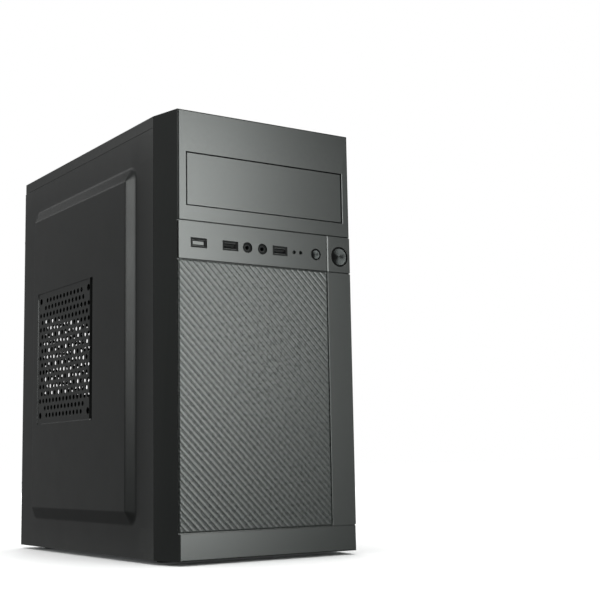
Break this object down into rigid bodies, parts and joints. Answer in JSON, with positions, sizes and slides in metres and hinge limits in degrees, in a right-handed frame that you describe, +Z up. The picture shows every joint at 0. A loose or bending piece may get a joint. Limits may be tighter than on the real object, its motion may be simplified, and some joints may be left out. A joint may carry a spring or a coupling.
{
  "type": "desktop computer tower",
  "caption": "Black desktop computer tower with a vented side panel, ribbed front, drive bay cover, front ports and buttons, opening to its board, fans, drive and power supply.",
  "frame": {"origin": "under the middle of the whole tower, on the surface it stands on", "axes": "+Z up, -Y out of the front face, -X out of the vented side panel (the left side seen from the front)"},
  "size_m": [0.185, 0.308, 0.348],
  "materials": {
    "painted_steel": "satin black paint on steel sheet, fine orange peel",
    "zinc_steel": "zinc-plated steel sheet, dull",
    "satin_plastic": "satin black moulded plastic with a fine hairline",
    "ribbed_plastic": "black plastic moulded with a diagonal twill of fine ribs",
    "matte_plastic": "matt black plastic",
    "spun_metal": "spun metal with fine circular lines",
    "circuit_board": "green solder mask over glass-fibre board",
    "aluminium": "extruded or cast aluminium, satin",
    "rubber": "black rubber",
    "lamp_lens": "clear lamp lens, milky",
    "cable_jacket": "black woven cable sleeve"
  },
  "bodies": {
    "chassis": {"audio_jack_left": "matte_plastic", "audio_jack_right": "matte_plastic", "audio_port_block": "matte_plastic", "base_pan": "zinc_steel", "chipset_heatsink": "aluminium", "cmos_battery": "zinc_steel", "cpu_fan_frame": "matte_plastic", "cpu_heatsink": "aluminium", "data_cable": "cable_jacket", "drive_led": "lamp_lens", "expansion_slot": "matte_plastic", "foot_1": "rubber", "foot_2": "rubber", "foot_3": "rubber", "foot_4": "rubber", "front_frame": "zinc_steel", "front_panel_cable": "cable_jacket", "hard_drive": "aluminium", "hard_drive_cage": "zinc_steel", "io_board": "circuit_board", "io_shield": "zinc_steel", "main_power_cable": "cable_jacket", "main_power_socket": "matte_plastic", "memory_module": "circuit_board", "memory_slot": "matte_plastic", "motherboard": "circuit_board", "motherboard_tray": "zinc_steel", "optical_bay_cage": "zinc_steel", "power_inlet": "matte_plastic", "power_led": "lamp_lens", "power_supply_case": "zinc_steel", "power_supply_fan_guard": "zinc_steel", "rear_panel": "zinc_steel", "rear_port_block": "zinc_steel", "slot_cover_1": "zinc_steel", "slot_cover_2": "zinc_steel", "slot_cover_3": "zinc_steel", "slot_cover_4": "zinc_steel", "top_cover": "painted_steel", "usb_port_left": "zinc_steel", "usb_port_middle": "zinc_steel", "usb_port_right": "zinc_steel"},
    "front_bezel": {"front_bezel": "satin_plastic", "textured_panel": "ribbed_plastic", "plain_strip": "satin_plastic", "io_strip": "satin_plastic", "power_button_plate": "satin_plastic", "switch_board": "circuit_board"},
    "power_button": {"power_button": "spun_metal"},
    "reset_button": {"reset_button": "spun_metal"},
    "bay_cover": {"bay_cover": "satin_plastic"},
    "left_side_panel": {"left_side_panel": "painted_steel"},
    "right_side_panel": {"right_side_panel": "painted_steel"},
    "left_thumbscrew_1": {"left_thumbscrew_1": "spun_metal"},
    "left_thumbscrew_2": {"left_thumbscrew_2": "spun_metal"},
    "right_thumbscrew_1": {"right_thumbscrew_1": "spun_metal"},
    "right_thumbscrew_2": {"right_thumbscrew_2": "spun_metal"},
    "cpu_fan_rotor": {"cpu_fan_rotor": "matte_plastic"},
    "power_supply_fan_rotor": {"power_supply_fan_rotor": "matte_plastic"},
    "power_supply_switch": {"power_supply_switch": "matte_plastic"}
  },
  "joints": [
    {"name": "front_bezel_pull", "type": "slide", "parent": "chassis", "child": "front_bezel", "axis": [0, -1, 0], "range_m": [0, 0.04]},
    {"name": "bay_cover_pull", "type": "slide", "parent": "front_bezel", "child": "bay_cover", "axis": [0, -1, 0], "range_m": [0, 0.035]},
    {"name": "power_button_press", "type": "slide", "parent": "front_bezel", "child": "power_button", "axis": [0, 1, 0], "range_m": [0, 0.0025], "stiffness_N_per_m": 600, "springref_m": -0.001},
    {"name": "reset_button_press", "type": "slide", "parent": "front_bezel", "child": "reset_button", "axis": [0, 1, 0], "range_m": [0, 0.0015], "stiffness_N_per_m": 800, "springref_m": -0.001},
    {"name": "left_side_panel_slide", "type": "slide", "parent": "chassis", "child": "left_side_panel", "axis": [0, 1, 0], "range_m": [0, 0.28]},
    {"name": "right_side_panel_slide", "type": "slide", "parent": "chassis", "child": "right_side_panel", "axis": [0, 1, 0], "range_m": [0, 0.28]},
    {"name": "left_thumbscrew_1_turn", "type": "hinge", "parent": "left_side_panel", "child": "left_thumbscrew_1", "pos_m": [-0.0799, 0.15, 0.06], "axis": [0, 1, 0], "continuous": true},
    {"name": "left_thumbscrew_2_turn", "type": "hinge", "parent": "left_side_panel", "child": "left_thumbscrew_2", "pos_m": [-0.0799, 0.15, 0.292], "axis": [0, 1, 0], "continuous": true},
    {"name": "right_thumbscrew_1_turn", "type": "hinge", "parent": "right_side_panel", "child": "right_thumbscrew_1", "pos_m": [0.0799, 0.15, 0.06], "axis": [0, 1, 0], "continuous": true},
    {"name": "right_thumbscrew_2_turn", "type": "hinge", "parent": "right_side_panel", "child": "right_thumbscrew_2", "pos_m": [0.0799, 0.15, 0.292], "axis": [0, 1, 0], "continuous": true},
    {"name": "cpu_fan_spin", "type": "hinge", "parent": "chassis", "child": "cpu_fan_rotor", "pos_m": [0.0205, 0.05, 0.176], "axis": [1, 0, 0], "continuous": true},
    {"name": "power_supply_fan_spin", "type": "hinge", "parent": "chassis", "child": "power_supply_fan_rotor", "pos_m": [0, 0.0749, 0.272], "axis": [0, 0, 1], "continuous": true},
    {"name": "power_supply_switch_rock", "type": "hinge", "parent": "chassis", "child": "power_supply_switch", "pos_m": [0.043, 0.1445, 0.288], "axis": [0, 0, 1], "range_deg": [0, 16]}
  ]
}
